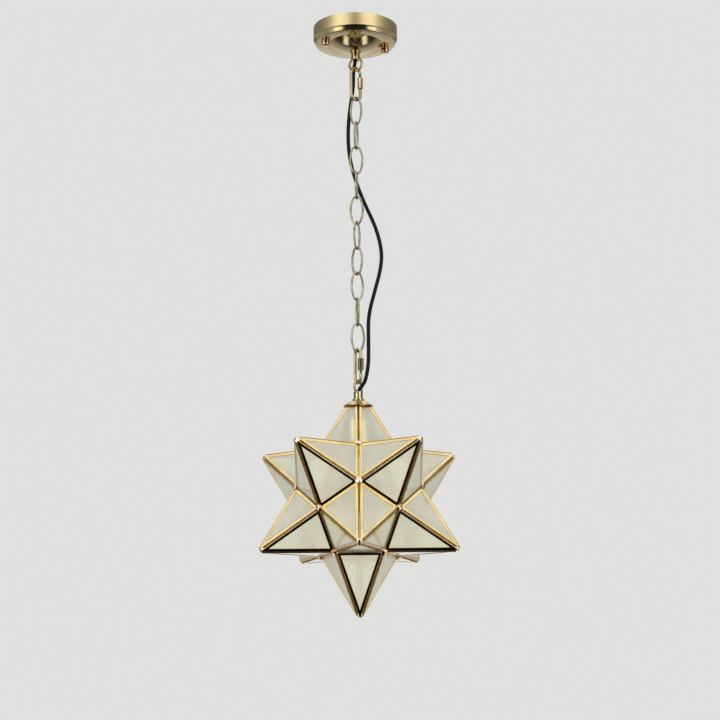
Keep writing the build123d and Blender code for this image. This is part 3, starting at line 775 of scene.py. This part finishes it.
def modelCap(name):
    wide, wall, tall, edge = cap["radius"], cap["wall"], cap["height"], cap["edge"]
    dome = domeCorners((cap["seat"], 0), (wide, cap["rim"] - tall), cap["steps"])
    outside = [(wide - wall, -tall), (wide - edge, -tall), (wide, edge - tall)]
    seatEdge = [(cap["seat"] - cap["seatEdge"], 0), (cap["hole"], 0), (cap["hole"], -wall)]
    thin = cap["wallShare"] * wall
    inside = [(radius - thin, height - wall) for radius, height in reversed(dome[1:])]
    return turnPiece(name, outside + dome + seatEdge + inside + outside[:1], 96)


plate = modelCanopy("canopyPlate")
settle(plate, 32)


def onWall(centre, normal):  # the upright wall, outside and inside
    return centre.z > -(canopy["edgeTop"] + 0.1) * mm and hypot(normal.x, normal.y) > 0.9


dressPart(plate, metals["polishedCanopy"], metals["satinBrass"], onWall)
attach(plate, "canopy_assembly")
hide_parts("canopy")

nut = modelCapNut("capNut")
settle(nut, 40)
nutPair = []
for turn in (capNut["turn"], capNut["turn"] + 180):
    out = Vector((cos(radians(turn)), sin(radians(turn)), 0)) * capNut["spacing"] / 2
    out.z = -canopy["height"]
    nutPair.append(copyTo(nut, "capNutCopy", Matrix.Translation(out * mm)))
discard(nut)
nuts = joinPieces(nutPair, "canopyCapNuts")
dress(nuts, metals["rosyBrass"])
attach(nuts, "canopy_assembly")
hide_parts("canopy_cap_nuts")

starCap = modelCap("starCapDome")
settle(starCap, 35)
starCap.data.transform(Matrix.Translation((0, 0, screwLoop["starSeat"] * mm)))
dress(starCap, metals["polishedBrass"])
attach(starCap, "star_body")
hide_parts("star_cap")
print("canopy and cap made")


# wire links: a round section is extruded down the bars and spun round the bends
def wireSection(name, radius, x, z, points=20):
    clearSelection()
    bpy.ops.mesh.primitive_circle_add(
        vertices=points, radius=radius * mm, location=(x * mm, 0, z * mm), fill_type="NOTHING"
    )
    section = bpy.context.object
    section.name = name
    bpy.ops.object.transform_apply(location=True)
    startEdit(section)
    bpy.ops.mesh.select_mode(type="EDGE")
    bpy.ops.mesh.select_all(action="SELECT")
    return section


def spinOn(centre, angle, steps):
    bpy.ops.mesh.spin(
        steps=steps, angle=radians(angle), center=Vector(centre) * mm, axis=(0, 1, 0), dupli=False
    )


quickLink = {
    "length": 51.5, "width": 19.5, "wire": 4.0, "bendSteps": 28, "gap": 5.5, "gapDrop": (19.1, 20.6),
    "tops": (-57.9, -465.3), "turns": (35.0, -61.0), "sleeveDrop": (15.1, 16.6),
    "threadLength": 12.5, "threadPitch": 0.8, "threadDepth": 0.25,
}
sleeveNut = {
    "across": 7.2, "length": 16.0, "edge": 0.35, "stepIn": 0.45, "stepOut": 0.35, "face": 0.5,
    "mouth": 0.4, "mouthDepth": 0.5,
}
bend = (quickLink["width"] - quickLink["wire"]) / 2


def modelQuickLink(name, gapDrop):  # the thread is below the gap
    straight = (quickLink["length"] - quickLink["width"]) / 2
    gapTop = quickLink["length"] / 2 - gapDrop
    threadLow = gapTop - quickLink["gap"] - quickLink["threadLength"]
    rod = wireSection(name, quickLink["wire"] / 2, bend, gapTop)
    extrudeOn((0, 0, straight - gapTop))
    spinOn((0, 0, straight), 180, quickLink["bendSteps"])
    extrudeOn((0, 0, -2 * straight))
    spinOn((0, 0, -straight), 180, quickLink["bendSteps"])
    extrudeOn((0, 0, threadLow + straight))
    turns = int(quickLink["threadLength"] / quickLink["threadPitch"])
    shrink = 1 - 2 * quickLink["threadDepth"] / quickLink["wire"]
    for turn in range(turns):  # the thread, as close rings
        for share in (shrink, 1 / shrink):
            extrudeOn((0, 0, quickLink["threadPitch"] / 2))
            bpy.ops.transform.resize(value=(share, share, 1), center_override=(bend * mm, 0, 0))
    bpy.ops.mesh.select_all(action="DESELECT")
    bpy.ops.mesh.select_non_manifold()
    bpy.ops.mesh.fill_holes(sides=0)
    settle(rod, 50)
    return rod


def modelSleeve(name):
    clearSelection()
    bpy.ops.mesh.primitive_cylinder_add(
        vertices=6, radius=sleeveNut["across"] / 2 / cos(radians(30)) * mm,
        depth=sleeveNut["length"] * mm, rotation=(0, 0, radians(30)),
    )
    sleeve = bpy.context.object
    sleeve.name = name
    bpy.ops.object.transform_apply(rotation=True)
    startEdit(sleeve)
    pickFaces(sleeve, lambda centre, normal: abs(normal.z) > 0.9)
    bpy.ops.mesh.inset(thickness=sleeveNut["stepIn"] * mm, depth=sleeveNut["stepOut"] * mm)
    bpy.ops.mesh.inset(thickness=sleeveNut["face"] * mm, depth=0)
    bpy.ops.mesh.inset(thickness=sleeveNut["mouth"] * mm, depth=-sleeveNut["mouthDepth"] * mm)
    pickEdges(sleeve, lambda one, two: abs(one.z - two.z) > sleeveNut["length"] / 2 * mm)
    bpy.ops.mesh.bevel(offset=sleeveNut["edge"] * mm, segments=3, affect="EDGES")
    settle(sleeve, 35)
    return sleeve


def linkPlace(top, turn, length):
    return Matrix.Translation((0, 0, (top - length / 2) * mm)) @ Matrix.Rotation(radians(turn), 4, "Z")


masterSleeve = modelSleeve("sleeve")
for index, level in enumerate(("upper", "lower")):
    place = linkPlace(quickLink["tops"][index], quickLink["turns"][index], quickLink["length"])
    gapDrop = quickLink["gapDrop"][index]
    flip = Matrix()
    if level == "upper":  # hung the other way up, with its thread above the gap
        gapDrop = quickLink["length"] - gapDrop - quickLink["gap"]
        flip = Matrix.Rotation(pi, 4, "X")
    masterRod = modelQuickLink("quickLinkRod", gapDrop)
    rod = copyTo(masterRod, level + "QuickLink", place @ flip)
    dress(rod, metals["polishedBrass"])
    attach(rod, f"{level}_quick_link_body")
    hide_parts(f"{level}_quick_link")
    middle = (quickLink["length"] - sleeveNut["length"]) / 2 - quickLink["sleeveDrop"][index]
    along = Matrix.Translation((bend * mm, 0, middle * mm))
    sleeve = copyTo(masterSleeve, level + "QuickLinkSleeve", place @ along)
    dress(sleeve, metals["polishedBrass"])
    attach(sleeve, f"{level}_sleeve_body")
    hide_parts(f"{level}_quick_link_sleeve")
    discard(masterRod)
discard(masterSleeve)

# one oval link, copied down the chain
chain = {
    "length": 42.3, "width": 20.1, "wire": 2.9, "endBend": 5.8, "sideSteps": 20, "endSteps": 18,
    "firstTop": -102.4, "pitch": 36.4, "turns": [-28, 76, 8, 84, -12, 65, -39, 26, -80, 12],
}


def modelChainLink(name):  # an oval of four arcs, lean is half the turn of a side one
    tall = (chain["length"] - chain["wire"]) / 2
    wide = (chain["width"] - chain["wire"]) / 2
    small = chain["endBend"]
    large = ((tall - small) ** 2 + wide**2 - small**2) / (2 * (wide - small))
    lean = degrees(atan2(tall - small, large - wide))
    sideSteps, endSteps = chain["sideSteps"], chain["endSteps"]
    link = wireSection(name, chain["wire"] / 2, wide, 0.0, 16)
    spinOn((wide - large, 0, 0), lean, sideSteps // 2)
    spinOn((0, 0, tall - small), 2 * (90 - lean), endSteps)
    spinOn((large - wide, 0, 0), 2 * lean, sideSteps)
    spinOn((0, 0, small - tall), 2 * (90 - lean), endSteps)
    spinOn((wide - large, 0, 0), lean, sideSteps // 2)
    settle(link, 60)
    return link


masterLink = modelChainLink("chainLink")
for number, turn in enumerate(chain["turns"], 1):
    top = chain["firstTop"] - (number - 1) * chain["pitch"]
    link = copyTo(masterLink, f"chainLink{number:02d}", linkPlace(top, turn, chain["length"]))
    dress(link, metals["chainBrass"])
    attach(link, f"chain_link_{number:02d}_body")
    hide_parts(f"chain_link_{number:02d}")
discard(masterLink)
print("links made")

fittings = {  # the CAD nodes that stay
    "ceiling_crossbar": metals["zincSteel"], "crossbar_ground_screw": metals["greenPaint"],
    "canopy_mounting_screws": metals["zincSteel"], "canopy_nipple": metals["zincSteel"],
    "canopy_locknut": metals["zincSteel"], "cap_washer": metals["cameBrass"],
    "star_nipple": metals["zincSteel"], "star_locknut": metals["zincSteel"],
    "socket_cup": metals["cupBrass"], "lampholder": porcelain, "bulb": bulbGlass,
    "hinge_fixed_leaf": metals["cameBrass"], "hinge_door_leaf": metals["cameBrass"],
    "hinge_pin": metals["cameBrass"], "door_catch": metals["cameBrass"],
}
for node, material in fittings.items():
    dressNode(node, material)

# a pale floor far below, and a room for the metal to mirror: bright to both sides of the front and
# overhead, dark straight in front and straight below
stageSetup = {
    "floorHeight": -3.0, "floorSize": 60.0, "backdrop": (0.745, 0.745, 0.735),
    "byHeight": (  # from straight down, -1, to straight up, 1
        (-1.0, 0.03), (-0.74, 0.08), (-0.58, 0.60), (-0.2, 0.90), (0.2, 1.0), (0.6, 1.15), (1.0, 1.25),
    ),
    "lowTurn": (  # below the level, from the front, 0, round to the back, 180
        (0, 0.03), (30, 0.05), (40, 0.95), (66, 1.1), (84, 0.55), (120, 0.5), (150, 0.6),
        (168, 0.8), (180, 0.95),
    ),
    "highTurn": (  # above the level
        (0, 0.10), (12, 0.14), (18, 1.4), (46, 1.4), (66, 0.35), (100, 0.12), (150, 0.16),
        (170, 0.5), (180, 0.9),
    ),
    "levelBlend": (-0.12, 0.10), "ceilingBlend": (0.45, 0.70),
}
clearSelection()
bpy.ops.mesh.primitive_plane_add(size=stageSetup["floorSize"], location=(0, 0, stageSetup["floorHeight"]))
floor = bpy.context.object
floor.name = "paleFloorPlane"
settle(floor)
floor.data.materials.append(floorPaint)
floor.visible_glossy = False

world = bpy.data.worlds.new("softRoom")
bpy.context.scene.world = world
world.use_nodes = True
wNodes, wLinks = world.node_tree.nodes, world.node_tree.links
coords = wNodes.new("ShaderNodeTexCoord")
splitter = wNodes.new("ShaderNodeSeparateXYZ")
wLinks.new(coords.outputs["Generated"], splitter.inputs["Vector"])


def worldMath(kind, first, second=None):
    node = wNodes.new("ShaderNodeMath")
    node.operation = kind
    for socket, value in zip(node.inputs, (first, second)):
        if isinstance(value, (int, float)):
            socket.default_value = value
        elif value is not None:
            wLinks.new(value, socket)
    return node.outputs[0]


def worldRamp(source, low, high, stops):  # grey levels against a direction
    share = wNodes.new("ShaderNodeMapRange")
    share.inputs["From Min"].default_value = low
    share.inputs["From Max"].default_value = high
    wLinks.new(source, share.inputs["Value"])
    node = wNodes.new("ShaderNodeValToRGB")
    elements = node.color_ramp.elements
    elements.remove(elements[1])
    for index, (direction, level) in enumerate(stops):
        position = (direction - low) / (high - low)
        stop = elements.new(position) if index else elements[0]
        stop.position = position
        stop.color = (level, level, level, 1)
    wLinks.new(share.outputs["Result"], node.inputs["Fac"])
    return node.outputs["Color"]


def worldMix(factor, first, second, kind="MIX"):
    node = wNodes.new("ShaderNodeMix")
    node.data_type = "RGBA"
    node.blend_type = kind
    sockets = (node.inputs["Factor"], node.inputs[6], node.inputs[7])  # 6 and 7 are its two colours
    for socket, value in zip(sockets, (factor, first, second)):
        if hasattr(value, "is_linked"):
            wLinks.new(value, socket)
        else:
            socket.default_value = value
    return node.outputs[2]


def heightShare(limits):  # 0 below the limits, 1 above them
    node = wNodes.new("ShaderNodeMapRange")
    node.inputs["From Min"].default_value, node.inputs["From Max"].default_value = limits
    wLinks.new(splitter.outputs["Z"], node.inputs["Value"])
    return node.outputs["Result"]


ahead = worldMath("MULTIPLY", splitter.outputs["Y"], -1.0)
turned = worldMath("ABSOLUTE", worldMath("ARCTAN2", splitter.outputs["X"], ahead))
turnDegrees = worldMath("DEGREES", turned)
heightLevel = worldRamp(splitter.outputs["Z"], -1.0, 1.0, stageSetup["byHeight"])
lowLevel = worldRamp(turnDegrees, 0, 180, stageSetup["lowTurn"])
highLevel = worldRamp(turnDegrees, 0, 180, stageSetup["highTurn"])
turnLevel = worldMix(heightShare(stageSetup["levelBlend"]), lowLevel, highLevel)
turnLevel = worldMix(heightShare(stageSetup["ceilingBlend"]), turnLevel, (1, 1, 1, 1))
room = worldMix(1.0, heightLevel, turnLevel, "MULTIPLY")
rayKind = wNodes.new("ShaderNodeLightPath")
shown = worldMix(rayKind.outputs["Is Camera Ray"], room, (*stageSetup["backdrop"], 1))
wLinks.new(shown, wNodes["Background"].inputs["Color"])

lamps = {  # power in watts, places and sizes in metres; the last one shows in no reflection
    "leftPanel": {"place": (-1.75, -1.5, -0.45), "size": (1.0, 2.2), "power": 9, "mirrored": True},
    "rightPanel": {"place": (1.75, -1.5, -0.45), "size": (1.0, 2.2), "power": 8, "mirrored": True},
    "leftLow": {"place": (-0.47, 0.68, -1.5), "size": (0.24, 0.95), "power": 1.1, "mirrored": True},
    "rightLow": {"place": (0.47, 0.68, -1.5), "size": (0.24, 0.95), "power": 1.2, "mirrored": True},
    "lowPanel": {"place": (0.0, -1.2, -1.6), "size": (3.0, 2.4), "power": 22, "mirrored": False},
}
aimPlace = Vector((0, 0, -0.6))
for name, lamp in lamps.items():
    bpy.ops.object.light_add(type="AREA", location=lamp["place"])
    light = bpy.context.object
    light.name = name
    light.data.shape = "RECTANGLE"
    light.data.size, light.data.size_y = lamp["size"]
    light.data.energy = lamp["power"]
    light.visible_glossy = lamp["mirrored"]
    light.visible_camera = False
    aim = aimPlace - Vector(lamp["place"])
    light.rotation_euler = aim.to_track_quat("-Z", "Y").to_euler()
    if name.endswith("Low"):  # lies flat and shines straight up
        light.rotation_euler = (pi, 0, 0)
print("stage made")

clearSelection()
